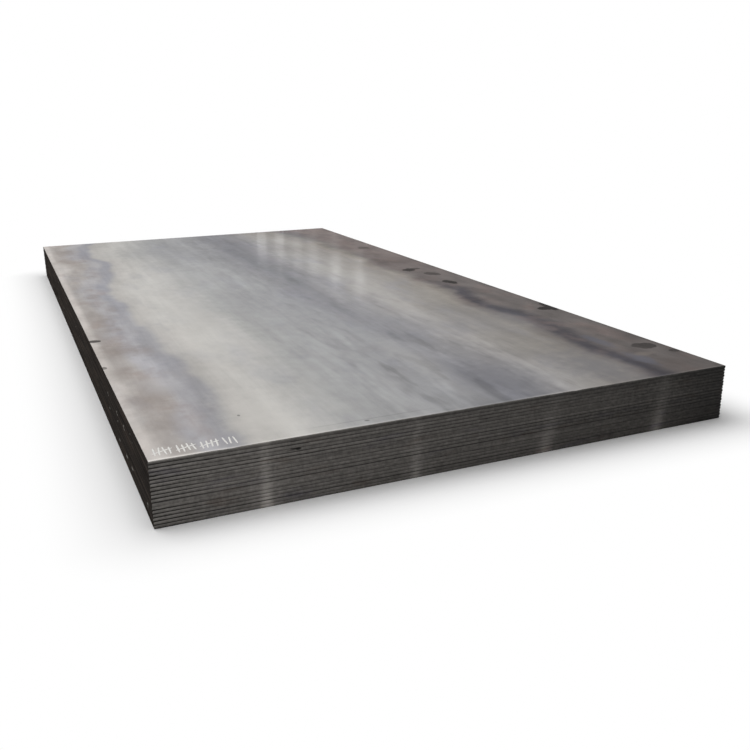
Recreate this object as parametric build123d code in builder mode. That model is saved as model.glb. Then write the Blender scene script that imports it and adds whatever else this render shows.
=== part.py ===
"""A stack of hot-rolled steel plates, lying flat, one plate on the other.

X runs across the plates, Y along the rolling direction and Z up. The origin is
at the middle of the stack's underside. Every plate is one rolled piece: its two
long sides keep the rounded edge that the mill left, and its two ends are sheared.
"""

import os
from math import cos, pi, sin, sqrt

from build123d import *

# Driving dimensions of a plate, in millimetres
PLATE_WIDTH = 1500.0
PLATE_LENGTH = 3000.0
PLATE_THICKNESS = 8.0

# The stack
PLATE_COUNT = 18
FLATNESS_GAP = 0.2  # mean gap between two plates that are not perfectly flat
SIDE_SCATTER = 0.4  # how far plates lie out of line across the stack
END_SCATTER = 0.4  # how far plates lie out of line along the stack

# Mill edges, the two long sides
MILL_EDGE_BULGE = 1.2  # how far the round of the edge stands out
EDGE_DROP = 0.3  # how much each face falls away towards the edge
EDGE_DROP_WIDTH = 30.0  # width of the strip that falls away

# Sheared ends: the blade first rolls the edge over, then burnishes, then tears
ROLLOVER_RADIUS = 0.8
BURNISH_DEPTH = 2.4
TEAR_SETBACK = 0.5  # how far the torn part leans back

# Both prisms of a plate run this far past it, so that their ends cut nothing
OVERRUN = 20.0

# Turning by the golden angle from plate to plate scatters them without a pattern
GOLDEN_ANGLE = pi * (3 - sqrt(5))


def plate_seat(level):
    """The middle of the underside of the plate on this level of the stack, from 0."""
    turn = level * GOLDEN_ANGLE
    rise = level * (PLATE_THICKNESS + FLATNESS_GAP)
    return Vector(SIDE_SCATTER * sin(turn), END_SCATTER * cos(turn), rise)


def make_plate(level):
    """One plate: its section across the rolling direction, trimmed by its sheared ends."""
    seat = plate_seat(level)
    side = PLATE_WIDTH / 2
    round_start = side - MILL_EDGE_BULGE
    flat_end = round_start - EDGE_DROP_WIDTH
    end = PLATE_LENGTH / 2
    tear_start = ROLLOVER_RADIUS + BURNISH_DEPTH

    with BuildPart() as plate:
        # Section across the plate: flat faces, falling edge strips, rounded mill edges
        with BuildSketch(Plane(seat, x_dir=(1, 0, 0), z_dir=(0, -1, 0))):
            with BuildLine():
                lower = Polyline(
                    (-round_start, EDGE_DROP),
                    (-flat_end, 0),
                    (flat_end, 0),
                    (round_start, EDGE_DROP),
                )
                upper = Polyline(
                    (round_start, PLATE_THICKNESS - EDGE_DROP),
                    (flat_end, PLATE_THICKNESS),
                    (-flat_end, PLATE_THICKNESS),
                    (-round_start, PLATE_THICKNESS - EDGE_DROP),
                )
                ThreePointArc(lower @ 1, (side, PLATE_THICKNESS / 2), upper @ 0)
                ThreePointArc(upper @ 1, (-side, PLATE_THICKNESS / 2), lower @ 0)
            make_face()
        extrude(amount=end + OVERRUN, both=True)

        # Profile along the plate. The blade enters the front end from above and the
        # back end from below, as when plates are cut one after another from a coil.
        with BuildSketch(Plane(seat, x_dir=(0, 1, 0), z_dir=(1, 0, 0))):
            with BuildLine():
                front = Polyline(
                    (TEAR_SETBACK - end, 0),
                    (-end, PLATE_THICKNESS - tear_start),
                    (-end, PLATE_THICKNESS - ROLLOVER_RADIUS),
                )
                top_left = RadiusArc(
                    front @ 1,
                    (ROLLOVER_RADIUS - end, PLATE_THICKNESS),
                    ROLLOVER_RADIUS,
                )
                back = Polyline(
                    (end - TEAR_SETBACK, PLATE_THICKNESS),
                    (end, tear_start),
                    (end, ROLLOVER_RADIUS),
                )
                low_right = RadiusArc(
                    back @ 1, (end - ROLLOVER_RADIUS, 0), ROLLOVER_RADIUS
                )
                Line(top_left @ 1, back @ 0)
                Line(low_right @ 1, front @ 0)
            make_face()
        extrude(amount=side + OVERRUN, both=True, mode=Mode.INTERSECT)
    return plate


os.makedirs("parts", exist_ok=True)
for level in range(PLATE_COUNT):
    plate = make_plate(level)
    plate.part.label = f"plate_{level + 1:02d}"
    export_step(plate.part, f"parts/{plate.part.label}.step")
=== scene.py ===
"""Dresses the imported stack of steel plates, and sets up the studio and the camera.

Lengths are in metres, in the row frame: X across the plates, Y along the rolling
direction and Z up, with the origin at the middle of the stack's underside.
"""

import math
import random
from functools import reduce

import bpy
from mathutils import Matrix, Vector, noise


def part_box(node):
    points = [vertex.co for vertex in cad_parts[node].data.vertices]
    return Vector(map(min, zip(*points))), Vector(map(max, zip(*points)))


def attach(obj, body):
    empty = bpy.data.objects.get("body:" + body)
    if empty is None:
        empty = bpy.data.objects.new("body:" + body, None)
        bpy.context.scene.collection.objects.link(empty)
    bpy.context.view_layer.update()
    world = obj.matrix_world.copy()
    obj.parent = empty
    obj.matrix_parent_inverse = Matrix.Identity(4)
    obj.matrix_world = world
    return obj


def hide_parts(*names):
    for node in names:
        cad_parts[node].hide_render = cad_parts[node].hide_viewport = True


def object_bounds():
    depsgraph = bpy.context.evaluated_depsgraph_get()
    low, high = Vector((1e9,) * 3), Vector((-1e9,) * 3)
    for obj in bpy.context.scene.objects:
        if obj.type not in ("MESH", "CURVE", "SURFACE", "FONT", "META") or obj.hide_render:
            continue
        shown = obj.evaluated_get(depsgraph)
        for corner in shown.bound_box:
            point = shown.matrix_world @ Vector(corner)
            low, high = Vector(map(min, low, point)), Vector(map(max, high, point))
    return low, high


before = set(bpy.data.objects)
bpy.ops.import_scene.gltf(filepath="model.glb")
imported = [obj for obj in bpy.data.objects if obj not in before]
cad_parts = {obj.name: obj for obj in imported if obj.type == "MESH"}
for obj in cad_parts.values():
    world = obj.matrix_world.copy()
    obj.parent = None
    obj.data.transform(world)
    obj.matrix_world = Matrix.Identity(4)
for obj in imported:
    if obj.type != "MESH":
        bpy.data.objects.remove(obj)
cad_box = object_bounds()

PLATES = sorted(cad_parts)
TOP_PLATE = PLATES[-1]
STACK_LOW, STACK_HIGH = cad_box

# Sizes that the plates have in the part
MILL_EDGE_BULGE = 0.0012
EDGE_DROP = 0.0003
EDGE_DROP_WIDTH = 0.03
ROLLOVER_RADIUS = 0.0008
BURNISH_DEPTH = 0.0024
TEAR_SETBACK = 0.0005

# Fine shape that the part leaves to this script
STATION_PITCH = 0.01  # spacing of the points along a plate's edges
FACE_PITCH = 0.13  # spacing of the points on a plate's faces
# Shares of the thickness at which an edge has rows of points
EDGE_SHARES = (0, 0.02, 0.06, 0.1, 0.2, 0.3, 0.4, 0.5, 0.6, 0.7, 0.8, 0.9, 0.94, 0.98, 1)
SHARP_ANGLE = 40  # degrees; where the surface bends more, it is drawn sharp
WAVE_HEIGHT = 0.00008  # a plate is not perfectly flat; less than half the gap to the next
WAVES = (1.7, 1.1)  # features to the metre of those waves, across and along
EDGE_ROUGHNESS = 0.00015
EDGE_LAPS = (14, 9)  # features of a mill edge to the metre and to the thickness
BURNISH_WANDER_SHARE = 0.07  # of the thickness: how much the end of the burnish wanders
BURNISH_WANDERS = 11  # features to the metre of that
TEAR_ROUGHNESS = 0.00022
TEAR_GRAIN = (60, 13)  # features of the tear to the metre and to the thickness
TEAR_ONSET = 0.25  # share of the torn part over which its roughness sets in

# Seeds by which noise differs from plate to plate, stroke to stroke and use to use
SEED_STEPS = (17.3, -9.1, 5.7)  # how far apart two neighbouring seeds read the noise
BOW_SEED, EDGE_SEED, BURNISH_SEED, TEAR_SEED = 30, 40, 60, 80
NICK_SEED, TALLY_SEED = 18, 5

# Nicks in the upper rim of the front ends: plate, place across, length and depth
LARGE_NICK = (15, -0.446, 0.028, 0.003)
SMALL_NICKS = 26
SMALL_NICK_LENGTHS = (0.012, 0.04)
SMALL_NICK_DEPTHS = (0.0005, 0.0014)
NICK_LEAN = 0.5  # share of its depth by which a nick leans back

PROFILE_UV = "profile"  # on the edges: metres along the side, share of the thickness
BAKE_UV = "OFBake"  # one place for every face, with room for the narrow edges
BAKE_PLACES = {  # left, low, right and high sides of each part of that map
    "top": (0.005, 0.005, 0.495, 0.995),
    "bottom": (0.505, 0.005, 0.755, 0.505),
    "right": (0.77, 0.005, 0.805, 0.995),
    "left": (0.815, 0.005, 0.85, 0.995),
    "front": (0.86, 0.005, 0.92, 0.995),
    "back": (0.93, 0.005, 0.98, 0.995),
}
FACE_MATERIAL, END_MATERIAL, SIDE_MATERIAL = range(3)


def srgb(red, green, blue):
    """A colour given as 8-bit screen values, as the linear RGBA that nodes use."""

    def linear(level):
        share = level / 255
        return share / 12.92 if share <= 0.04045 else ((share + 0.055) / 1.055) ** 2.4

    return (linear(red), linear(green), linear(blue), 1)


def add_object(name, data):
    """Puts a mesh, a light or a camera into the scene."""
    thing = bpy.data.objects.new(name, data)
    bpy.context.scene.collection.objects.link(thing)
    return thing


# The plates' shape


def wander(seed, *place):
    """Smooth noise from -1 to 1 that is different for every seed."""
    place = (*place, 0, 0)[:3]
    return noise.noise(Vector([at + step * seed for at, step in zip(place, SEED_STEPS)]))


def nick_list():
    """Every nick as plate number, place across, half length and depth."""
    draw = random.Random(NICK_SEED)
    number, place, length, depth = LARGE_NICK
    nicks = [(number, place, length / 2, depth)]
    for _ in range(SMALL_NICKS):
        number = draw.randint(1, len(PLATES))
        place = draw.uniform(STACK_LOW.x, STACK_HIGH.x)
        half = draw.uniform(*SMALL_NICK_LENGTHS) / 2
        nicks.append((number, place, half, draw.uniform(*SMALL_NICK_DEPTHS)))
    return nicks


NICKS = nick_list()


class Plate:
    """One plate's lattice: stations across and along it, and the points on them."""

    def __init__(self, node):
        self.number = PLATES.index(node) + 1
        self.low, self.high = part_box(node)
        self.size = self.high - self.low
        self.across = round(self.size.x / STATION_PITCH)
        self.along = round(self.size.y / STATION_PITCH)
        self.nicks = [nick[1:] for nick in NICKS if nick[0] == self.number]

    def plan(self, i, j):
        """A station's place in plan."""
        x, y = self.size.x * i / self.across, self.size.y * j / self.along
        return (self.low.x + x, self.low.y + y)

    def thickness(self, x):
        """The plate's thickness, which falls off towards the mill edges."""
        from_edge = min(x - self.low.x, self.high.x - x)
        fall = max(0, 1 - from_edge / EDGE_DROP_WIDTH)
        return self.size.z - 2 * EDGE_DROP * fall

    def wave(self, x, y):
        """How far the plate is off its own plane; the lowest one lies flat on the floor."""
        if self.number == 1:
            return 0
        return WAVE_HEIGHT * wander(self.number, WAVES[0] * x, WAVES[1] * y)

    def mill_inset(self, share, y):
        """How far the rounded mill edge lies inside the plate's width."""
        half = self.size.z / 2 - EDGE_DROP
        radius = (half**2 + MILL_EDGE_BULGE**2) / (2 * MILL_EDGE_BULGE)
        height = (2 * share - 1) * half
        lap = wander(self.number + EDGE_SEED, EDGE_LAPS[0] * y, EDGE_LAPS[1] * share)
        lap = EDGE_ROUGHNESS * (1 + lap) / 2
        return radius - math.sqrt(radius**2 - height**2) + lap

    def shear_inset(self, share, x):
        """How far the sheared end lies inside the length; the blade came from share 1."""
        rollover_share = ROLLOVER_RADIUS / self.size.z
        burnish_end = 1 - rollover_share - BURNISH_DEPTH / self.size.z
        wandered = wander(self.number + BURNISH_SEED, BURNISH_WANDERS * x)
        burnish_end += BURNISH_WANDER_SHARE * wandered
        if share > 1 - rollover_share:
            part = (share - 1 + rollover_share) / rollover_share
            return ROLLOVER_RADIUS * (1 - math.sqrt(max(0, 1 - part**2)))
        if share > burnish_end:
            return 0
        torn = (burnish_end - share) / burnish_end
        grain = wander(self.number + TEAR_SEED, TEAR_GRAIN[0] * x, TEAR_GRAIN[1] * share)
        grain = (1 + grain) / 2
        return TEAR_SETBACK * torn + TEAR_ROUGHNESS * grain * min(1, torn / TEAR_ONSET)

    def nick(self, x):
        """How deep a nick goes into the upper rim of the front end here."""
        depth = 0
        for place, half, deepest in self.nicks:
            off = abs(x - place) / half
            if off < 1:
                depth = max(depth, deepest * (1 - off**2) ** 2)
        return depth

    def rim_point(self, i, j, share):
        """A point on the plate's edge at a share of its thickness."""
        plan_x, plan_y = x, y = self.plan(i, j)
        z = self.low.z + self.size.z / 2 + (share - 0.5) * self.thickness(x)
        if i == 0:
            x += self.mill_inset(share, plan_y)
        if i == self.across:
            x -= self.mill_inset(share, plan_y)
        if j == 0:
            y += self.shear_inset(share, plan_x)
            pressed = self.nick(plan_x) * max(0, 2 * share - 1)
            z -= pressed
            y += pressed * NICK_LEAN
        if j == self.along:
            y -= self.shear_inset(1 - share, plan_x)
        return (x, y, z + self.wave(plan_x, plan_y))

    def face_point(self, i, j, upper):
        """A point inside the upper or the lower face."""
        x, y = self.plan(i, j)
        return (x, y, (self.high.z if upper else self.low.z) + self.wave(x, y))

    def rim(self):
        """The stations around the plate, counter-clockwise from its front left corner."""
        return (
            [(i, 0) for i in range(self.across)]
            + [(self.across, j) for j in range(self.along)]
            + [(i, self.along) for i in range(self.across, 0, -1)]
            + [(0, j) for j in range(self.along, 0, -1)]
        )


def face_lines(count):
    """The stations that the lines of a face's mesh run through, with narrow cells at its rim."""
    border = round(EDGE_DROP_WIDTH / STATION_PITCH)
    inside = count - 2 * border
    cells = round(inside * STATION_PITCH / FACE_PITCH)
    return [0] + [border + round(inside * n / cells) for n in range(cells + 1)] + [count]


def cell_outline(plate, i_low, i_high, j_low, j_high):
    """The stations around a cell of a face, with every station where it meets the rim."""
    front = range(i_low, i_high) if j_low == 0 else [i_low]
    right = range(j_low, j_high) if i_high == plate.across else [j_low]
    back = range(i_high, i_low, -1) if j_high == plate.along else [i_high]
    left = range(j_high, j_low, -1) if i_low == 0 else [j_high]
    return (
        [(i, j_low) for i in front]
        + [(i_high, j) for j in right]
        + [(i, j_high) for i in back]
        + [(i_low, j) for j in left]
    )


def plate_surface(plate):
    """A plate's points, and its faces as corners, material, side and a place on each corner.

    A corner's place is its station, across and along, and its share of the thickness.
    """
    rim = plate.rim()
    rows = len(EDGE_SHARES)
    points = [plate.rim_point(i, j, share) for i, j in rim for share in EDGE_SHARES]
    faces = []
    for k, (i, j) in enumerate(rim):
        after = (k + 1) % len(rim)
        i_next, j_next = rim[after]
        if j == j_next:
            side, material = ("front" if j == 0 else "back"), END_MATERIAL
        else:
            side, material = ("left" if i == 0 else "right"), SIDE_MATERIAL
        for row in range(rows - 1):
            corners = [k * rows + row, after * rows + row, after * rows + row + 1, k * rows + row + 1]
            low, high = EDGE_SHARES[row], EDGE_SHARES[row + 1]
            places = [(i, j, low), (i_next, j_next, low), (i_next, j_next, high), (i, j, high)]
            faces.append((corners, material, side, places))

    on_rim = {station: k for k, station in enumerate(rim)}
    across, along = face_lines(plate.across), face_lines(plate.along)
    for upper in (False, True):
        inside = {}
        for i in across[1:-1]:
            for j in along[1:-1]:
                inside[i, j] = len(points)
                points.append(plate.face_point(i, j, upper))
        row = rows - 1 if upper else 0
        for i_low, i_high in zip(across, across[1:]):
            for j_low, j_high in zip(along, along[1:]):
                outline = cell_outline(plate, i_low, i_high, j_low, j_high)
                if not upper:
                    outline.reverse()
                corners = [on_rim[s] * rows + row if s in on_rim else inside[s] for s in outline]
                places = [(i, j, float(upper)) for i, j in outline]
                faces.append((corners, FACE_MATERIAL, "top" if upper else "bottom", places))
    return points, faces


def bake_place(plate, side, i, j, share):
    """A corner's place on the map that holds every part of the plate apart from the others."""
    across, along = i / plate.across, j / plate.along
    u = across if side in ("top", "bottom") else share
    v = across if side in ("front", "back") else along
    left, low, right, high = BAKE_PLACES[side]
    return (left + u * (right - left), low + v * (high - low))


def profile_place(plate, side, i, j, share):
    """A corner's metres along its side, and its share of the thickness from the torn side."""
    if side in ("front", "back"):
        along_side = plate.size.x * i / plate.across
    else:
        along_side = plate.size.y * j / plate.along
    return (along_side, 1 - share if side == "back" else share)


def make_plate(node, materials):
    """Makes the detailed plate that stands for a node."""
    plate = Plate(node)
    points, faces = plate_surface(plate)
    mesh = bpy.data.meshes.new(f"steel_{node}")
    mesh.from_pydata(points, [], [corners for corners, *_ in faces])
    for material in materials:
        mesh.materials.append(material)
    mesh.polygons.foreach_set("material_index", [material for _, material, *_ in faces])
    mesh.polygons.foreach_set("use_smooth", [material != FACE_MATERIAL for _, material, *_ in faces])
    for name, place in ((PROFILE_UV, profile_place), (BAKE_UV, bake_place)):
        spots = [
            number
            for _, _, side, places in faces
            for station in places
            for number in place(plate, side, *station)
        ]
        mesh.uv_layers.new(name=name).data.foreach_set("uv", spots)
    mesh.set_sharp_from_angle(angle=math.radians(SHARP_ANGLE))
    piece = add_object(f"steel_{node}", mesh)
    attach(piece, "root")
    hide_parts(node)


# Materials
# A noise's stretch is its features to the metre along X, Y and Z

# Values between which a noise is spread out: most of it, and its middle
MOST_NOISE, MIDDLE_NOISE = (0.28, 0.72), (0.3, 0.7)


class Tree:
    """The nodes of a material or a world, built from its inputs to its output."""

    def __init__(self, name, owners=bpy.data.materials, shader="Principled BSDF"):
        self.owner = owners.new(name)
        self.owner.use_nodes = True
        self.nodes = self.owner.node_tree.nodes
        self.links = self.owner.node_tree.links
        self.shader = self.nodes[shader]

    def put(self, socket, value):
        """Gives an input a number, a colour or another node's output."""
        if isinstance(value, bpy.types.NodeSocket):
            self.links.new(value, socket)
        else:
            socket.default_value = value

    def add(self, kind, *values, **settings):
        """Adds a node, and gives its inputs the values in order."""
        node = self.nodes.new(f"ShaderNode{kind}")
        for name, value in settings.items():
            setattr(node, name, value)
        for socket, value in zip(node.inputs, values):
            self.put(socket, value)
        return node

    def math(self, operation, *values):
        """The result of an operation on numbers."""
        return self.add("Math", *values, operation=operation).outputs[0]

    def times(self, *factors):
        """The product of numbers."""
        return reduce(lambda a, b: self.math("MULTIPLY", a, b), factors)

    def plus(self, *terms):
        """The sum of numbers."""
        return reduce(lambda a, b: self.math("ADD", a, b), terms)

    def vector(self, operation, a, b):
        """The result of an operation on vectors."""
        node = self.add("VectorMath", a, operation=operation)
        self.put(node.inputs["Scale" if operation == "SCALE" else 1], b)
        return node.outputs[0]

    def length(self, vector):
        """A vector's length."""
        return self.add("VectorMath", vector, operation="LENGTH").outputs["Value"]

    def point(self):
        """The place on the plate, in metres in the row frame."""
        return self.add("TexCoord").outputs["Object"]

    def thickness_share(self):
        """On an edge, the share of the plate's thickness."""
        node = self.add("UVMap", uv_map=PROFILE_UV)
        return self.add("SeparateXYZ", node.outputs["UV"]).outputs["Y"]

    def noise(self, place, stretch, detail=3, rough=0.55):
        """Noise from about 0 to 1, with so many features to the metre along each axis."""
        node = self.add("TexNoise", self.vector("MULTIPLY", place, stretch))
        for name, value in (("Scale", 1), ("Detail", detail), ("Roughness", rough)):
            node.inputs[name].default_value = value
        return node.outputs["Fac"]

    def swing(self, place, stretch, reach, detail=3):
        """Noise that swings around 0 by up to about its reach."""
        return self.math("MULTIPLY_ADD", self.noise(place, stretch, detail), 2 * reach, -reach)

    def span(self, value, low, high, to_low=0, to_high=1):
        """Takes a value smoothly from one span to another, and holds it there."""
        node = self.add("MapRange", value, low, high, to_low, to_high)
        node.interpolation_type = "SMOOTHSTEP"
        return node.outputs[0]

    def ramp(self, value, stops):
        """A colour band from (place, colour) stops."""
        node = self.add("ValToRGB", value)
        elements = node.color_ramp.elements
        while len(elements) < len(stops):
            elements.new(1)
        for element, (place, colour) in zip(elements, stops):
            element.position, element.color = place, colour
        return node.outputs["Color"]

    def mix(self, share, a, b):
        """Mixes two colours."""
        node = self.add("Mix", data_type="RGBA")
        for name, value in (("Factor_Float", share), ("A_Color", a), ("B_Color", b)):
            self.put(next(s for s in node.inputs if s.identifier == name), value)
        return next(s for s in node.outputs if s.identifier == "Result_Color")

    def band(self, value, low, high, soft):
        """1 between two values and 0 outside them, with soft borders."""
        rise = self.span(value, low - soft, low + soft)
        return self.times(rise, self.span(value, high + soft, high - soft))

    def marks(self, place, spots, ragged, soft):
        """How strongly a spot covers a place; spots are x, y, width, length and strength."""
        covered = 0
        for x, y, width, length, strength in spots:
            off = self.vector("SUBTRACT", place, (x, y, 0))
            reach = self.length(self.vector("MULTIPLY", off, (2 / width, 2 / length, 0)))
            cover = self.span(self.plus(reach, ragged), 1 + soft, 1 - soft, 0, strength)
            covered = self.math("MAXIMUM", covered, cover)
        return covered

    def course(self, value, stops):
        """A smooth line through (value, level) stops, level before the first and after the last."""
        level = stops[0][1]
        for (start, low), (end, high) in zip(stops, stops[1:]):
            level = self.plus(level, self.span(value, start, end, 0, high - low))
        return level

    def tone(self, place, layers):
        """A factor around 1 from layers of noise: stretch, detail and how far each one swings."""
        swings = [
            self.span(self.noise(place, stretch, detail), *MOST_NOISE, -swing, swing)
            for stretch, detail, swing in layers
        ]
        return self.plus(1, *swings)

    def shade(self, colour, factor):
        """A colour made lighter or darker by a factor."""
        return self.vector("SCALE", colour, factor)

    def bump(self, height, strength, distance):
        """Feeds the shader's normal from a height."""
        node = self.add("Bump")
        node.inputs["Strength"].default_value = strength
        node.inputs["Distance"].default_value = distance
        self.put(node.inputs["Height"], height)
        self.put(self.shader.inputs["Normal"], node.outputs["Normal"])

    def white_rays(self):
        """1 for rays that should see plain white: from the camera, or mirrored or passed on."""
        path = self.add("LightPath").outputs
        total = path["Is Camera Ray"]
        for name in ("Is Glossy Ray", "Is Transmission Ray"):
            total = self.math("MAXIMUM", total, path[name])
        return total

    def finish(self, **inputs):
        """Sets the shader's inputs by name, with _ for a space."""
        for name, value in inputs.items():
            self.put(self.shader.inputs[name.replace("_", " ")], value)
        return self.owner


# Rolled faces

# Tones across a face, from its left side to its right one, as shares of the width
# The light band near the left is partly painted reflection; the darkening to the right is partly
# painted shade.
BAND_STOPS = (
    (0, srgb(191, 186, 182)),
    (0.03, srgb(166, 160, 156)),
    (0.1, srgb(167, 164, 163)),
    (0.15, srgb(184, 181, 177)),
    (0.2, srgb(190, 188, 184)),
    (0.33, srgb(166, 166, 166)),
    (0.47, srgb(156, 156, 158)),
    (0.56, srgb(138, 138, 142)),
    (0.62, srgb(148, 147, 149)),
    (0.7, srgb(162, 159, 157)),
    (0.828, srgb(147, 142, 135)),
    (0.86, srgb(118, 112, 109)),
    (0.89, srgb(103, 97, 95)),
    (1, srgb(100, 94, 92)),
)
# Stripes of oxide along the plate: left and right border and how soft each one is, as shares
# of the width, colour, and strength at the front and at the back
STRIPES = (
    (0.062, 0.1, 0.012, 0.012, srgb(172, 171, 176), 0.8, 0.5),
    (0.096, 0.128, 0.012, 0.011, srgb(152, 152, 158), 0.68, 0.95),
    (0.864, 0.906, 0.014, 0.024, srgb(66, 63, 69), 1, 0.1),
)
STRIPE_CHANGE = (0.36, 0.5)  # shares of the length between which the strength changes
STRIPE_PATCHES = (0.85, 1)  # strength of a stripe's weak and strong patches
PATCHES, PATCH_SPAN = (3, 5, 0), (0.25, 0.45)  # their stretch, and where they set in

# How far the borders of bands and stripes lie from their mean place near the left and the
# right side: share of the length, and share of the width to the right
LEFT_COURSE = (
    (0, 0.004), (0.05, -0.013), (0.17, -0.001), (0.26, -0.011), (0.34, 0.004), (0.4, -0.014),
    (0.63, -0.01), (0.69, 0.024), (0.78, 0.022), (0.88, -0.022), (0.95, 0.012), (1, 0.034),
)
RIGHT_COURSE = (
    (0, -0.022), (0.12, -0.002), (0.2, -0.005), (0.27, 0.005), (0.335, -0.008), (0.4, 0.04),
    (0.48, 0.014), (0.56, -0.01), (0.69, 0.038), (0.76, 0.004), (0.86, 0), (0.94, -0.022),
)
LEFT_REACH, RIGHT_REACH = (0.4, 0.25), (0.6, 0.75)  # shares of the width where each one sets in
BEND_SHARE, SCALLOP_SHARE = 0.14, 0.06  # of the width: how far the borders wander besides
BENDS, SCALLOPS = (0.9, 1.9, 0), (2, 4.5, 0)  # their stretch
SCALLOP_STARTS = (0, 3)  # where the scallops of right and of left borders are read, in metres
LEFT_TO_RIGHT = (0.4, 0.8)  # shares of the width between which the left look turns into the right
RIGHT_WANDER = 1.3  # how much more the borders wander at the right

# Tints in patches: stretch, the noise's values between which they set in, and strength
BROWN_TINT, BROWN_SPAN, BROWN_SHARE = (11, 7, 0), (0.45, 0.7), 0.5
BLUE_TINT, BLUE_SPAN, BLUE_SHARE = (7, 3, 0), (0.5, 0.72), 0.3
LEFT_BROWN, RIGHT_BROWN, BLUE = srgb(150, 137, 131), srgb(116, 101, 97), srgb(138, 139, 150)
BROWN_IN_MIDDLE = 0.12  # how much of the brown is left between the side bands
BLUE_REACH = (0.86, 0.82)  # shares of the width between which the blue sets in
SIDE_BANDS = (0.1, 0.85)  # shares of the width outside which the face is brown and mottled
BAND_SOFT = 0.04  # how soft the borders of such bands are
MOTTLES, MOTTLE_SWINGS = (16, 8, 0), (0.05, 0.13)  # swing of the tone at the left and right
# The right band's colour towards the back, its strength, and the shares of the width and of the
# length between which it sets in
RED_BAND, RED_SHARE = srgb(118, 107, 104), 0.9
RED_BORDER, RED_COURSE = (0.85, 0.89), (0.35, 0.75)

# How much lighter the strip inside the right band is towards the back
LIGHT_COURSE = ((0.05, -0.06), (0.5, 0.05), (0.62, 0.03), (0.8, -0.05))
LIGHT_STRIP = (0.65, 0.86)
PALE_RIM, PALE_RIM_SHARES = srgb(200, 194, 189), (0.022, 0.008)  # along the left side
PALE_RIM_STRENGTH = 0.6
DARK_RIM, DARK_RIM_SHARES = 0.13, (0.984, 0.993)  # along the right side

# Streaks and clouds in the scale: stretch, detail, and swing of the tone
SCALE_LAYERS = (
    ((5, 0.8, 0), 3, 0.075),
    ((22, 1.4, 0), 4, 0.055),
    ((150, 5, 0), 3, 0.02),
    ((8, 4, 0), 5, 0.065),
    ((40, 24, 0), 4, 0.03),
    ((420, 240, 0), 2, 0.035),
)
# Rubbed dabs in the middle of the face: stretch, and how much lighter they are
SCUFFS = (((16, 3.2, 0), 0.08), ((20, 4, 0), -0.09), ((9, 2.4, 0), -0.06))
SCUFF_BAND = (0.38, 0.72)  # shares of the width between which they lie
SCUFF_COURSE = ((0.06, 2.3), (0.36, 1))  # share of the length, and how strong they are
SCUFF_SOFT, SCUFF_SPAN = 0.08, (0.52, 0.66)  # how soft that band is, and where dabs set in
SCUFF_START = 2  # where the first kind of dab is read, in metres; each next one a metre on
GRAIN = (420, 240, 0)
SCALE_ROUGHNESS = (0.42, 0.52)
FACE_STEP = 5  # metres along the plate between the scale of two kinds of faces
# Painted shade and dirt where the faces show between plates: distances from the rim where it sets in
RIM_SHADE_AND_DIRT, RIM_SHADE_AND_DIRT_COLOUR, RIM_SHADE_AND_DIRT_STRENGTH = (0.012, 0.004), srgb(34, 31, 29), 0.95

# Marks on the top face: colour, how soft they are, and spots as place from the left side and
# the front end, width, length and strength
CLOUDS = (
    (0.91, 0.17, 0.15, 0.42, 0.5), (0.87, 2.4, 0.2, 1.2, 0.38), (0.845, 1.35, 0.13, 0.6, 0.22),
    (0.5, 2.48, 0.32, 0.7, 0.2), (1.195, 0.13, 0.15, 0.34, 0.55), (1.19, 0.7, 0.13, 0.46, 0.28),
    (1.25, 2.8, 0.13, 0.4, 0.4), (1.282, 0.7, 0.11, 0.3, 0.45), (0.96, 0.36, 0.14, 0.34, 0.3),
)
PALE_CLOUDS = (
    (0.375, 1.22, 0.15, 1.1, 0.4), (0.31, 0.76, 0.11, 0.42, 0.35), (0.785, 0.4, 0.08, 0.46, 0.22),
    (0.272, 0.16, 0.12, 0.32, 0.5),
)
LEFT_PATCHES = (
    (0.066, 0.39, 0.1, 0.2, 0.45), (0.07, 0.85, 0.1, 0.13, 0.55), (0.064, 1.23, 0.07, 0.22, 0.35),
    (0.086, 1.63, 0.05, 0.09, 0.45), (0.06, 2.46, 0.09, 0.2, 0.4), (0.085, 2.74, 0.09, 0.16, 0.45),
    (0.034, 0.614, 0.05, 0.12, 0.3), (0.089, 0.206, 0.06, 0.15, 0.35),
)
LEFT_PALE = ((0.112, 0.48, 0.09, 0.13, 0.45),)
RIGHT_PATCHES = (
    (1.424, 2.24, 0.08, 0.13, 0.4), (1.405, 1.87, 0.1, 0.26, 0.25),
    (1.405, 0.075, 0.09, 0.09, 0.35),
)
BLUE_PATCHES = ((1.356, 0.345, 0.036, 0.12, 0.6), (1.346, 0.145, 0.042, 0.11, 0.65))
PALE_DAB = ((1.382, 0.182, 0.06, 0.03, 0.6),)
SPOTS = (
    (1.364, 1.608, 0.05, 0.062, 0.9), (1.394, 1.62, 0.066, 0.032, 0.6),
    (1.404, 1.494, 0.046, 0.066, 0.52), (1.42, 1.482, 0.044, 0.062, 0.6),
    (1.388, 1.312, 0.036, 0.07, 0.9), (1.398, 1.298, 0.036, 0.068, 0.95),
    (1.462, 0.76, 0.05, 0.058, 1), (1.48, 0.756, 0.044, 0.06, 1),
    (1.492, 0.796, 0.034, 0.08, 0.9), (1.43, 0.252, 0.054, 0.052, 0.68),
    (1.45, 0.244, 0.05, 0.054, 0.76), (1.436, 0.23, 0.04, 0.036, 0.68),
    (0.014, 0.984, 0.034, 0.03, 0.85), (0.004, 0.69, 0.014, 0.022, 0.6),
    (1.424, 2.232, 0.06, 0.07, 0.45), (1.485, 0.171, 0.03, 0.026, 0.6),
    (0.232, 0.18, 0.008, 0.016, 0.5), (0.48, 0.027, 0.012, 0.008, 0.45),
)
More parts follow.
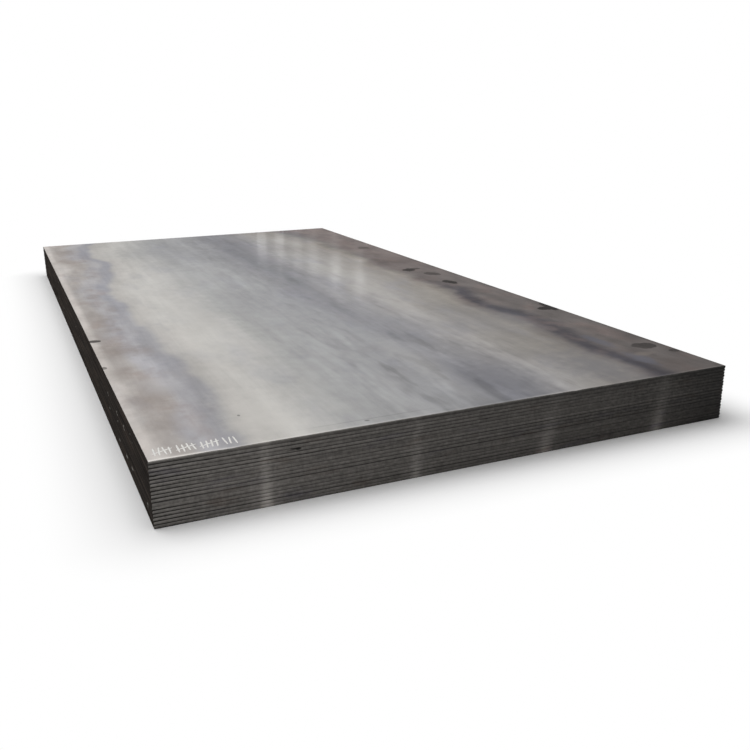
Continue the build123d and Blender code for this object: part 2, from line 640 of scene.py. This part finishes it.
TOP_MARKS = (
    (srgb(100, 100, 108), 0.95, CLOUDS),
    (srgb(206, 203, 198), 0.95, PALE_CLOUDS),
    (srgb(130, 119, 112), 0.9, LEFT_PATCHES),
    (srgb(188, 186, 188), 0.9, LEFT_PALE),
    (srgb(90, 79, 75), 0.9, RIGHT_PATCHES),
    (srgb(96, 97, 108), 0.55, BLUE_PATCHES),
    (srgb(122, 114, 108), 0.5, PALE_DAB),
    (srgb(42, 39, 37), 0.18, SPOTS),
)
RAGGED, RAGGED_SWING = (26, 26, 0), 0.9  # the marks' borders
SPOT_DULLNESS = 0.25  # how much rougher the dark spots are
# A line that the shear's clamp left: distances from the front end, shares of the width, and how
# soft its sides and its ends are
CLAMP_LINE, CLAMP_SHARES, CLAMP_SOFT = (0.034, 0.038), (0.24, 0.42), (0.002, 0.06)
CLAMP_COLOUR, CLAMP_STRENGTH = srgb(92, 90, 88), 0.25
# A painted highlight along the front end's upper rim
HIGHLIGHT_RIM = 0.012  # width of the bright strip along the front end's upper rim
HIGHLIGHT_COLOUR = srgb(226, 223, 218)
# How bright that painted highlight is: share of the width, and share of the bright colour
HIGHLIGHT_COURSE = (
    (0.04, 0.9), (0.12, 0.55), (0.26, 0.3), (0.5, 0.12), (0.57, 0.12), (0.64, 0.3), (0.72, 0.08),
)


def wandering_shares(tree, point, share, back_share):
    """The share of the width as right and as left borders see it, which wander along the plate."""
    left = tree.times(tree.course(back_share, LEFT_COURSE), tree.span(share, *LEFT_REACH))
    right = tree.times(tree.course(back_share, RIGHT_COURSE), tree.span(share, *RIGHT_REACH))
    straight = tree.math("SUBTRACT", share, tree.plus(left, right))
    bends = tree.swing(point, BENDS, BEND_SHARE / 2, detail=1)
    reach = tree.span(share, *LEFT_TO_RIGHT, 1, RIGHT_WANDER)
    shares = []
    for start in SCALLOP_STARTS:
        scallops = tree.noise(tree.vector("ADD", point, (start, 0, 0)), SCALLOPS, detail=4)
        scallops = tree.math("ABSOLUTE", tree.math("SUBTRACT", scallops, 0.5))
        shift = tree.math("MULTIPLY_ADD", scallops, SCALLOP_SHARE, bends)
        shares.append(tree.math("MULTIPLY_ADD", reach, shift, straight))
    return shares


def scale_colour(tree, point, share, back_share, patchy):
    """Bands across the face, partly painted reflection and shade, stripes of oxide along it, and
    brown and blue tints.
    """
    right_share, left_share = wandering_shares(tree, point, share, back_share)
    colour = tree.ramp(right_share, BAND_STOPS)
    redder = tree.span(right_share, *RED_BORDER)
    redder = tree.times(redder, RED_SHARE, tree.span(back_share, *RED_COURSE))
    colour = tree.mix(redder, colour, RED_BAND)
    patches = tree.span(patchy, *PATCH_SPAN, *STRIPE_PATCHES)
    for left, right, left_soft, right_soft, oxide, front_strength, back_strength in STRIPES:
        strength = tree.span(back_share, *STRIPE_CHANGE, front_strength, back_strength)
        rise = tree.span(left_share, left - left_soft, left + left_soft)
        fall = tree.span(right_share, right + right_soft, right - right_soft)
        covered = tree.times(rise, fall, tree.times(strength, patches))
        colour = tree.mix(covered, colour, oxide)

    middle = tree.band(share, *SIDE_BANDS, BAND_SOFT)
    brown = tree.span(tree.noise(point, BROWN_TINT, detail=4), *BROWN_SPAN, 0, BROWN_SHARE)
    brown = tree.times(brown, tree.span(middle, 0, 1, 1, BROWN_IN_MIDDLE))
    colour = tree.mix(brown, colour, tree.mix(share, LEFT_BROWN, RIGHT_BROWN))
    blue = tree.span(tree.noise(point, BLUE_TINT, detail=4), *BLUE_SPAN, 0, BLUE_SHARE)
    blue = tree.times(blue, tree.span(right_share, *BLUE_REACH))
    colour = tree.mix(blue, colour, BLUE)
    pale = tree.span(share, *PALE_RIM_SHARES, 0, PALE_RIM_STRENGTH)
    return tree.mix(pale, colour, PALE_RIM)


def scale_tone(tree, point, share, back_share):
    """How much lighter or darker streaks, clouds, mottles and dabs make the scale."""
    mottled = tree.times(
        tree.span(tree.noise(point, MOTTLES, detail=5), *MIDDLE_NOISE, -1, 1),
        tree.span(tree.band(share, *SIDE_BANDS, BAND_SOFT), 1, 0),
        tree.span(share, *LEFT_TO_RIGHT, *MOTTLE_SWINGS),
    )
    lighter = tree.course(back_share, LIGHT_COURSE)
    lighter = tree.times(lighter, tree.band(share, *LIGHT_STRIP, BAND_SOFT))
    darker = tree.span(share, *DARK_RIM_SHARES, 0, -DARK_RIM)
    tone = tree.plus(tree.tone(point, SCALE_LAYERS), mottled, lighter, darker)
    rubbed = tree.band(share, *SCUFF_BAND, SCUFF_SOFT)
    rubbed = tree.times(rubbed, tree.course(back_share, SCUFF_COURSE))
    for number, (stretch, swing) in enumerate(SCUFFS):
        place = tree.vector("ADD", point, (number + SCUFF_START, 0, 0))
        dab = tree.noise(place, stretch, detail=2, rough=0.5)
        tone = tree.math("MULTIPLY_ADD", tree.span(dab, *SCUFF_SPAN, 0, swing), rubbed, tone)
    return tone


def scale_material(name, seed, marked):
    """Mill scale on a rolled face: the top one's marks, or painted shade and dirt at the others'
    rims.
    """
    tree = Tree(name)
    low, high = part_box(TOP_PLATE)
    point = tree.vector("ADD", tree.point(), (0, FACE_STEP * seed, 0))
    x, y, _ = tree.add("SeparateXYZ", tree.point()).outputs
    share = tree.add("MapRange", x, low.x, high.x).outputs[0]
    back_share = tree.add("MapRange", y, low.y, high.y).outputs[0]
    patchy = tree.noise(point, PATCHES, detail=4)
    colour = scale_colour(tree, point, share, back_share, patchy)
    colour = tree.shade(colour, scale_tone(tree, point, share, back_share))
    roughness = tree.span(patchy, *MIDDLE_NOISE, *SCALE_ROUGHNESS)
    if marked:
        ragged = tree.swing(point, RAGGED, RAGGED_SWING, detail=5)
        for mark_colour, soft, places in TOP_MARKS:
            spots = [(low.x + across, low.y + along, *rest) for across, along, *rest in places]
            covered = tree.marks(tree.point(), spots, ragged, soft)
            colour = tree.mix(covered, colour, mark_colour)
        roughness = tree.math("MULTIPLY_ADD", covered, SPOT_DULLNESS, roughness)
        near, far = CLAMP_LINE
        side_soft, end_soft = CLAMP_SOFT
        pressed = tree.band(y, low.y + near, low.y + far, side_soft)
        line = tree.band(share, *CLAMP_SHARES, end_soft)
        colour = tree.mix(tree.times(pressed, line, CLAMP_STRENGTH), colour, CLAMP_COLOUR)
        # A painted highlight along the front end's upper rim
        highlit = tree.times(tree.span(y, low.y + HIGHLIGHT_RIM, low.y), tree.course(share, HIGHLIGHT_COURSE))
        colour = tree.mix(highlit, colour, HIGHLIGHT_COLOUR)
    else:
        # Painted shade and dirt along the rims, where the faces show between the plates
        from_side = tree.math("SUBTRACT", STACK_HIGH.x, tree.math("ABSOLUTE", x))
        from_end = tree.math("SUBTRACT", STACK_HIGH.y, tree.math("ABSOLUTE", y))
        rim_shade_and_dirt = tree.math("MINIMUM", from_side, from_end)
        rim_shade_and_dirt = tree.span(rim_shade_and_dirt, *RIM_SHADE_AND_DIRT, 0, RIM_SHADE_AND_DIRT_STRENGTH)
        colour = tree.mix(rim_shade_and_dirt, colour, RIM_SHADE_AND_DIRT_COLOUR)
    tree.bump(tree.noise(point, GRAIN, detail=2), strength=0.25, distance=0.0004)
    return tree.finish(
        Base_Color=colour,
        Metallic=0.2,
        Roughness=roughness,
        Specular_IOR_Level=0,
        Coat_Weight=0.06,
        Coat_Roughness=0.14,
    )


# Sheared ends

# Tones from the torn rim to the rolled-over one, as shares of the thickness
# The darkest tones at both rims are painted shade in the grooves between the plates
END_STOPS = (
    (0, srgb(24, 23, 22)),
    (0.08, srgb(40, 38, 36)),
    (0.2, srgb(83, 81, 78)),
    (0.5, srgb(98, 95, 92)),
    (0.8, srgb(100, 97, 94)),
    (0.92, srgb(82, 79, 77)),
    (0.98, srgb(46, 45, 43)),
    (1, srgb(35, 34, 33)),
)
# How these tones waver along the end: stretch, and share of the thickness
END_WAVES, END_WAVE_SHARE = (9, 0, 60), 0.05
BURNISHED, END_ROUGHNESS = (0.45, 0.75), (0.68, 0.45)  # shares where the torn part turns burnished
END_GRAIN = (900, 900, 900)
# Streaks and specks: stretch, detail, and swing of the tone
END_LAYERS = (
    ((0.9, 0, 100), 1, 0.1),
    ((7, 0, 60), 3, 0.08),
    ((45, 0, 120), 3, 0.14),
    ((100, 0, 120), 3, 0.13),
    ((180, 0, 120), 3, 0.09),
    (END_GRAIN, 2, 0.07),
)
# Dirt that fills the grooves between the ends: place across, and share of their depth
GROOVE_FILL = (
    (-0.74, 0), (-0.6, 0.42), (-0.33, 0.52), (0.15, 0.54), (0.27, 0.7), (0.45, 0.76), (0.66, 0.86),
)
FILL_COLOUR, FILL_SWING = srgb(88, 85, 82), 0.26
FILL_PATCHES, FILL_SPAN = (0.5, 0, 90), (0.35, 0.65)
# Single gaps: how many plates lie below, colour, strength, and half the height that it covers
# The dark one is painted shadow along one gap; the pale one lightens the groove on top of the sixth
# plate
GAPS = ((7, srgb(24, 23, 22), 0.45, 0.0015), (6, srgb(92, 89, 86), 0.85, 0.004))
GAP_OUTSIDE, GAP_INSIDE = 1.4, 0.6  # shares of that half between which it sets in
# Tints in patches: stretch, colour and strength
END_TINTS = (((9, 0, 45), srgb(72, 60, 52), 0.35), ((6, 0, 38), srgb(70, 67, 76), 0.4))
END_TINT_SPAN = (0.55, 0.75)
# Lighter upright bands on the front: place at the foot, lean to the top, width, and strength
# at the foot and at the top
UPRIGHT_BANDS = (
    (-0.5135, 0.002, 0.02, 1.45, 0.34), (-0.163, 0.005, 0.02, 0.9, 0.2),
    (0.185, 0.03, 0.03, 1.2, 0.13), (0.531, 0.023, 0.028, 1.85, 0.3),
)
UPRIGHT_SKIRT, SKIRT_SHARE = 0.11, 0.35  # the faint border of a mark
UPRIGHT_FALL = 2.5  # power by which a mark loses strength from the foot to the top
# How much of its tone painted light and dirt leave the front: place across or height, and share
# Across, painted shade falls from the left to the right, with dirt at the right end
SHADE_AND_DIRT_ACROSS = ((-0.6, 1), (0, 0.84), (0.05, 0.84), (0.36, 0.66), (0.5, 0.57), (0.75, 0.22))
# Up, painted shade near the floor and on the top plate's end, and a painted highlight along its upper
# rim
SHADE_AND_HIGHLIGHT_UP = (
    (0, 0.95), (0.035, 1), (0.13, 1), (0.1386, 0.85), (0.1396, 0.68), (0.1437, 0.68), (0.147, 1.5),
)
# Near the left corner the painted shade of the gaps reaches further: place across, and share of the
# thickness
CORNER_GAP_SHADE = ((-0.71, 0.12), (-0.6, 0))
# Streaks show more on the dark right half: place across, and how much more
STREAK_COURSE = ((0.1, 1), (0.7, 1.7))
# Painted shade in the large nick: place along it, height over the rim, length as a share of the
# nick's, height and strength
NICK_SHADES = ((0.2, -0.0025, 0.45, 0.0052, 0.95), (-0.2, -0.003, 0.85, 0.0024, 0.55))
NICK_SHADE_COLOUR, NICK_SHADE_SOFT = srgb(20, 19, 18), 0.35
NICK_SHADE_RAGGED, NICK_SHADE_SWING = (70, 0, 90), 0.7  # their borders


def lighter_bands(tree, x, z):
    """How much lighter the upright bands make the front."""
    rise = tree.add("MapRange", z, STACK_LOW.z, STACK_HIGH.z).outputs[0]
    near_foot = tree.math("POWER", tree.math("SUBTRACT", 1, rise), UPRIGHT_FALL)
    total = 0
    for foot, lean, width, foot_strength, top_strength in UPRIGHT_BANDS:
        off = tree.math("MULTIPLY_ADD", rise, -lean, tree.math("SUBTRACT", x, foot))
        off = tree.math("ABSOLUTE", off)
        skirt = tree.span(off, UPRIGHT_SKIRT / 2, 0, 0, SKIRT_SHARE)
        covered_band = tree.plus(tree.span(off, width, 0), skirt)
        strength = tree.math("MULTIPLY_ADD", near_foot, foot_strength - top_strength, top_strength)
        total = tree.math("MULTIPLY_ADD", covered_band, strength, total)
    return total


def nick_shade(tree, point, x, z):
    """Where painted shade darkens the large nick."""
    number, place, length, _ = LARGE_NICK
    _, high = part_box(PLATES[number - 1])
    shades = [
        (place + along * length, high.z + up, share * length, height, strength)
        for along, up, share, height, strength in NICK_SHADES
    ]
    ragged = tree.swing(point, NICK_SHADE_RAGGED, NICK_SHADE_SWING)
    return tree.marks(tree.add("CombineXYZ", x, z).outputs[0], shades, ragged, NICK_SHADE_SOFT)


def end_material():
    """A sheared end: torn grain below and a burnished strip above, with lighter upright bands,
    painted shade and a painted highlight.
    """
    tree = Tree("sheared_end")
    point = tree.point()
    share = tree.thickness_share()
    x, y, z = tree.add("SeparateXYZ", point).outputs
    on_front = tree.span(y, 0, STACK_LOW.y)

    share = tree.plus(share, tree.swing(point, END_WAVES, END_WAVE_SHARE, detail=2))
    # Near the left corner the painted shade of the gaps reaches further
    share = tree.math("SUBTRACT", share, tree.course(x, CORNER_GAP_SHADE))
    colour = tree.ramp(share, END_STOPS)
    filled = tree.noise(point, FILL_PATCHES, detail=1)
    filled = tree.span(filled, *FILL_SPAN, -FILL_SWING, FILL_SWING)
    filled = tree.plus(filled, tree.course(x, GROOVE_FILL))
    colour = tree.mix(tree.span(filled, 0, 1), colour, FILL_COLOUR)
    for number, gap_colour, strength, half in GAPS:
        _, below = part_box(PLATES[number - 1])
        off = tree.math("ABSOLUTE", tree.math("SUBTRACT", z, below.z))
        covered = tree.span(off, GAP_OUTSIDE * half, GAP_INSIDE * half, 0, strength)
        colour = tree.mix(covered, colour, gap_colour)
    for stretch, tint, strength in END_TINTS:
        covered = tree.span(tree.noise(point, stretch), *END_TINT_SPAN, 0, strength)
        colour = tree.mix(covered, colour, tint)

    streaks = tree.math("SUBTRACT", tree.tone(point, END_LAYERS), 1)
    tone = tree.math("MULTIPLY_ADD", streaks, tree.course(x, STREAK_COURSE), 1)
    tone = tree.math("MULTIPLY_ADD", lighter_bands(tree, x, z), on_front, tone)
    # Painted shade across the front and up it, dirt at its right end, and a painted highlight on its
    # top rim
    painted_light_and_dirt = tree.times(tree.course(x, SHADE_AND_DIRT_ACROSS), tree.course(z, SHADE_AND_HIGHLIGHT_UP))
    colour = tree.shade(colour, tree.times(tone, painted_light_and_dirt))
    # Painted shade in the large nick
    shaded_nick = tree.times(nick_shade(tree, point, x, z), on_front)
    colour = tree.mix(shaded_nick, colour, NICK_SHADE_COLOUR)

    tree.bump(tree.noise(point, END_GRAIN, detail=2), strength=0.3, distance=0.0004)
    return tree.finish(
        Base_Color=colour,
        Metallic=0.2,
        Roughness=tree.span(share, *BURNISHED, *END_ROUGHNESS),
        Specular_IOR_Level=0.1,
    )


# Mill edges and chalk

# Clouds in the scale of the edges: stretch and tones
EDGE_CLOUDS = (0, 3, 90)
EDGE_STOPS = ((0.3, srgb(48, 44, 42)), (0.5, srgb(63, 59, 56)), (0.7, srgb(82, 73, 67)))
# The dark rims are painted shade in the grooves between the plates
EDGE_RIMS, EDGE_RIM_SOFT, EDGE_RIM_TONE = (0.1, 0.9), 0.1, 0.4  # dark rims, outside these shares
EDGE_GRAIN, EDGE_TONES, EDGE_DULLNESS = (700, 260, 700), (0.8, 1.2), (0.75, 0.9)
# Fine chips and their groups: stretch, and the noise's values where they set in
CHIPS, CHIP_SPAN = (0, 70, 160), (0.7, 0.74)
CHIP_GROUPS, CHIP_GROUP_SPAN = (0, 5, 40), (0.55, 0.62)
CHIP_COLOUR, CHIP_SOFT = srgb(150, 148, 143), 0.4
CHIP_RAGGED, CHIP_SWING = (0, 90, 120), 0.7  # their borders
# Chips on the left side: place from the front end, height, length, height of the chip and strength
SIDE_CHIPS = (
    (0.06, 0.028, 0.016, 0.009, 0.55), (0.256, 0.032, 0.02, 0.01, 0.75),
    (0.334, 0.031, 0.02, 0.012, 0.85), (0.45, 0.03, 0.018, 0.008, 0.55),
    (0.34, 0.101, 0.016, 0.012, 0.6), (0.45, 0.1, 0.016, 0.012, 0.6),
    (0.61, 0.1, 0.02, 0.01, 0.45), (0.6, 0.066, 0.02, 0.008, 0.4),
)
SIDE_COURSE = ((-1.5, 0.86), (0, 1.05))  # place along the plate, and how light the scale is

CHALK_DUST, CHALK_ROUGHNESS = (900, 900, 0), (0.85, 0.98)
CHALK_STOPS = ((0.34, srgb(190, 188, 185)), (0.54, srgb(244, 243, 239)))


def mill_edge_material():
    """A rolled edge under thick dark scale, with painted shade at its rims and a few bright chips."""
    tree = Tree("mill_edge")
    point = tree.point()
    share = tree.thickness_share()
    x, y, z = tree.add("SeparateXYZ", point).outputs
    colour = tree.ramp(tree.noise(point, EDGE_CLOUDS, detail=4), EDGE_STOPS)
    grain = tree.noise(point, EDGE_GRAIN, detail=3)
    # Painted shade at the rims, in the grooves between the plates
    tone = tree.span(tree.band(share, *EDGE_RIMS, EDGE_RIM_SOFT), 0, 1, EDGE_RIM_TONE, 1)
    tone = tree.times(tone, tree.span(grain, *MIDDLE_NOISE, *EDGE_TONES))
    colour = tree.shade(colour, tree.times(tone, tree.course(y, SIDE_COURSE)))

    chipped = tree.span(tree.noise(point, CHIPS, detail=1), *CHIP_SPAN)
    grouped = tree.span(tree.noise(point, CHIP_GROUPS, detail=2), *CHIP_GROUP_SPAN)
    chipped = tree.times(chipped, grouped)
    spots = [(STACK_LOW.y + from_end, *rest) for from_end, *rest in SIDE_CHIPS]
    ragged = tree.swing(point, CHIP_RAGGED, CHIP_SWING)
    more = tree.marks(tree.add("CombineXYZ", y, z).outputs[0], spots, ragged, CHIP_SOFT)
    more = tree.times(more, tree.span(x, 0, STACK_LOW.x))
    colour = tree.mix(tree.math("MAXIMUM", chipped, more), colour, CHIP_COLOUR)
    tree.bump(grain, strength=0.3, distance=0.0004)
    return tree.finish(
        Base_Color=colour,
        Roughness=tree.span(grain, *MIDDLE_NOISE, *EDGE_DULLNESS),
        Specular_IOR_Level=0,
    )


def chalk_material():
    """Chalk rubbed onto steel."""
    tree = Tree("chalk")
    dust = tree.noise(tree.point(), CHALK_DUST, detail=3)
    tree.bump(dust, strength=0.6, distance=0.0003)
    return tree.finish(
        Base_Color=tree.ramp(dust, CHALK_STOPS),
        Roughness=tree.span(dust, *MIDDLE_NOISE, *CHALK_ROUGHNESS),
        Specular_IOR_Level=0.1,
    )


# A chalked tally of the plates near the front left corner

TALLY_PLACE = Vector((0.02, 0.022))  # its low left corner, from the plate's corner
STROKE_HEIGHT = 0.042
STROKE_PITCH = 0.0105
GROUP_GAP = 0.017
BARS = 4  # upright strokes of a full group, before the one across them
CROSS_ENDS = ((-0.6, 0.3), (3.7, 0.75))  # of that one, as shares of the pitch and of the height
STROKE_LEANS = (-0.0015, 0.0025)
FOOT_SCATTER, HEAD_SCATTER = 0.002, 0.003
STROKE_WIDTH = 0.0041
WIDTH_SWING, WIDTH_SWINGS = 0.35, 40  # share by which the width swings, and features to a stroke
STROKE_BOW, STROKE_BOWS = 0.0008, 2  # how far a stroke is off straight, and features to a stroke
STROKE_TIP, TIP_POWER = 0.02, 6  # how narrow the tips are, and how late a stroke tapers to them
STROKE_STATIONS, STROKE_SIDES = 18, 6
CHALK_THICKNESS = 0.0002


def tally_strokes(count):
    """The strokes of a five-bar tally, as pairs of points on the plate."""
    draw = random.Random(TALLY_SEED)
    strokes, left = [], 0
    while count > 0:
        for bar in range(min(count, BARS)):
            x = left + bar * STROKE_PITCH
            lean = draw.uniform(*STROKE_LEANS)
            start = Vector((x - lean, draw.uniform(-FOOT_SCATTER, FOOT_SCATTER)))
            end = Vector((x + lean, STROKE_HEIGHT + draw.uniform(-HEAD_SCATTER, HEAD_SCATTER)))
            strokes.append((start, end))
        if count > BARS:
            ends = [(left + x * STROKE_PITCH, y * STROKE_HEIGHT) for x, y in CROSS_ENDS]
            strokes.append([Vector(end) for end in ends])
        count -= BARS + 1
        left += (BARS - 1) * STROKE_PITCH + GROUP_GAP
    return strokes


def make_tally(material):
    """The strokes as low ridges of chalk lying on the top plate."""
    low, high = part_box(TOP_PLATE)
    corner = low.xy + TALLY_PLACE
    stations, around = STROKE_STATIONS, STROKE_SIDES
    points, faces = [], []
    for number, (start, end) in enumerate(tally_strokes(len(PLATES))):
        run = end - start
        side = Vector((-run.y, run.x)).normalized()
        first = len(points)
        for step in range(stations + 1):
            share = step / stations
            taper = math.sqrt(max(STROKE_TIP, 1 - (2 * share - 1) ** TIP_POWER))
            swing = WIDTH_SWING * wander(number, WIDTH_SWINGS * share)
            half = STROKE_WIDTH / 2 * taper * (1 + swing)
            bow = STROKE_BOW * wander(number + BOW_SEED, STROKE_BOWS * share)
            middle = corner + start + run * share + side * bow
            for turn in range(around):
                angle = 2 * math.pi * turn / around
                place = middle + side * half * math.cos(angle)
                points.append((*place, high.z + CHALK_THICKNESS * taper * math.sin(angle)))
        for step in range(stations):
            for turn in range(around):
                after = (turn + 1) % around
                ring, next_ring = first + step * around, first + (step + 1) * around
                faces.append((ring + turn, ring + after, next_ring + after, next_ring + turn))
        faces.append(tuple(first + turn for turn in reversed(range(around))))
        faces.append(tuple(first + stations * around + turn for turn in range(around)))
    mesh = bpy.data.meshes.new("chalk_tally")
    mesh.from_pydata(points, [], faces)
    mesh.materials.append(material)
    mesh.polygons.foreach_set("use_smooth", [True] * len(faces))
    piece = add_object("chalk_tally", mesh)
    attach(piece, "root")


# Studio

FLOOR_REACH = 40
FLOOR_DROP = 0.0003  # keeps the floor clear of the lowest plate's underside
FLOOR_LAP = 0.005  # how far the floor reaches under the stack; it is open further in
FLOOR_FADE = (0, 0.22)  # distances from the stack between which the floor turns plain white
FLOOR_TONE = 0.95  # the floor's reflectance as it is seen
FLOOR_BOUNCE = 0.5  # the floor's reflectance to light that then falls on the stack
WORLD_LIGHT = 0.4
WHITE = (1, 1, 1, 1)

# Soft lights: name, place, point that it faces, width and length, and power
SOFTBOXES = (
    ("key", (-1.2, 0.4, 4.2), (0, 0, 0.1), (4, 5), 130),
    ("front_fill", (-1, -2.7, 0.35), (-0.6, -1.5, 0.08), (0.8, 0.5), 7),
    ("side_fill", (3, -0.2, 0.09), (0.75, -0.2, 0.08), (3, 0.14), 28),
)
# Upright strip lights behind the stack, mirrored in its scale: place across, height of the middle,
# length and power
STRIPS = (
    (1.72, 0.93, 0.13, 0.62), (1.92, 0.94, 0.13, 0.62), (2.12, 1.06, 0.22, 0.4),
    (2.31, 1.14, 0.22, 0.55), (2.59, 1.3, 0.2, 0.92), (2.88, 1.42, 0.22, 0.95),
)
STRIP_DISTANCE = 6
STRIP_WIDTH = 0.1
STRIP_AIM = 0.25  # a strip faces the point at this share of its place across


def make_world():
    """Soft even light, in front of a white background."""
    tree = Tree("studio", bpy.data.worlds, "Background")
    strength = tree.add("MapRange", tree.white_rays(), 0, 1, WORLD_LIGHT, 1).outputs[0]
    bpy.context.scene.world = tree.finish(Color=WHITE, Strength=strength)


def make_floor():
    """A pale floor that keeps the shadow near the stack and is plain white further out.

    It is clear from below and open under the stack, so that the underside shows.
    """
    mesh = bpy.data.meshes.new("floor")
    opening = (STACK_HIGH.x - FLOOR_LAP, STACK_HIGH.y - FLOOR_LAP)
    points = []
    for across, along in ((FLOOR_REACH, FLOOR_REACH), opening):
        points += [(-across, -along, 0), (across, -along, 0), (across, along, 0), (-across, along, 0)]
    sides = [(k, (k + 1) % 4, 4 + (k + 1) % 4, 4 + k) for k in range(4)]
    mesh.from_pydata(points, [], sides)
    floor = add_object("floor", mesh)
    floor.location.z = STACK_LOW.z - FLOOR_DROP
    tree = Tree("floor")
    off = tree.add("VectorMath", tree.point(), operation="ABSOLUTE").outputs[0]
    off = tree.vector("SUBTRACT", off, (STACK_HIGH.x, STACK_HIGH.y, 0))
    off = tree.vector("MAXIMUM", off, (0, 0, 0))
    far = tree.span(tree.length(off), *FLOOR_FADE)
    seen = tree.white_rays()
    white = tree.times(far, seen)
    pale = tree.span(seen, 0, 1, FLOOR_BOUNCE, FLOOR_TONE)
    pale = tree.add("CombineColor", pale, pale, pale).outputs[0]
    glow = tree.add("Emission", WHITE, 1)
    seen_above = tree.add("MixShader", white, tree.shader.outputs[0], glow.outputs[0])
    from_below = tree.add("NewGeometry").outputs["Backfacing"]
    clear = tree.add("BsdfTransparent")
    mixed = tree.add("MixShader", from_below, seen_above.outputs[0], clear.outputs[0])
    tree.links.new(mixed.outputs[0], tree.nodes["Material Output"].inputs["Surface"])
    mesh.materials.append(tree.finish(Base_Color=pale, Roughness=0.9, Specular_IOR_Level=0))


def add_softbox(name, place, target, size, power):
    """A rectangular soft light."""
    light = bpy.data.lights.new(name, "AREA")
    light.shape = "RECTANGLE"
    light.size, light.size_y = size
    light.energy = power
    lamp = add_object(name, light)
    lamp.location = place
    lamp.rotation_euler = (Vector(target) - Vector(place)).to_track_quat("-Z", "Y").to_euler()
    lamp.visible_camera = False


# Camera

CAMERA_PLACE = Vector((-0.965, -3.081, 0.805))
CAMERA_AZIMUTH, CAMERA_ELEVATION, CAMERA_ROLL = -23.97, 17.52, -0.49  # degrees
FOCAL_SHARE = 849.5 / 750  # focal length as a share of the picture's width
SENSOR_WIDTH = 36


def make_camera():
    """A camera at the photograph's viewing angle."""
    data = bpy.data.cameras.new("camera")
    data.sensor_width = SENSOR_WIDTH
    data.lens = FOCAL_SHARE * SENSOR_WIDTH
    camera = add_object("camera", data)
    azimuth, elevation = math.radians(CAMERA_AZIMUTH), math.radians(CAMERA_ELEVATION)
    level = math.cos(elevation)
    back = Vector((math.sin(azimuth) * level, -math.cos(azimuth) * level, math.sin(elevation)))
    right = Vector((0, 0, 1)).cross(back).normalized()
    up = back.cross(right)
    turn = Matrix((right, up, back)).transposed() @ Matrix.Rotation(math.radians(CAMERA_ROLL), 3, "Z")
    camera.matrix_world = Matrix.Translation(CAMERA_PLACE) @ turn.to_4x4()
    bpy.context.scene.camera = camera


bpy.context.scene.view_settings.view_transform = "Standard"
ends, sides = end_material(), mill_edge_material()
inner_faces = scale_material("mill_scale", 1, marked=False)
top_faces = scale_material("mill_scale_top", 0, marked=True)
for plate_node in PLATES:
    faces = top_faces if plate_node == TOP_PLATE else inner_faces
    make_plate(plate_node, (faces, ends, sides))
make_tally(chalk_material())
make_world()
make_floor()
for softbox in SOFTBOXES:
    add_softbox(*softbox)
for x, z, length, power in STRIPS:
    aim = (x * STRIP_AIM, 0, STACK_HIGH.z)
    add_softbox("strip", (x, STRIP_DISTANCE, z), aim, (STRIP_WIDTH, length), power)
make_camera()
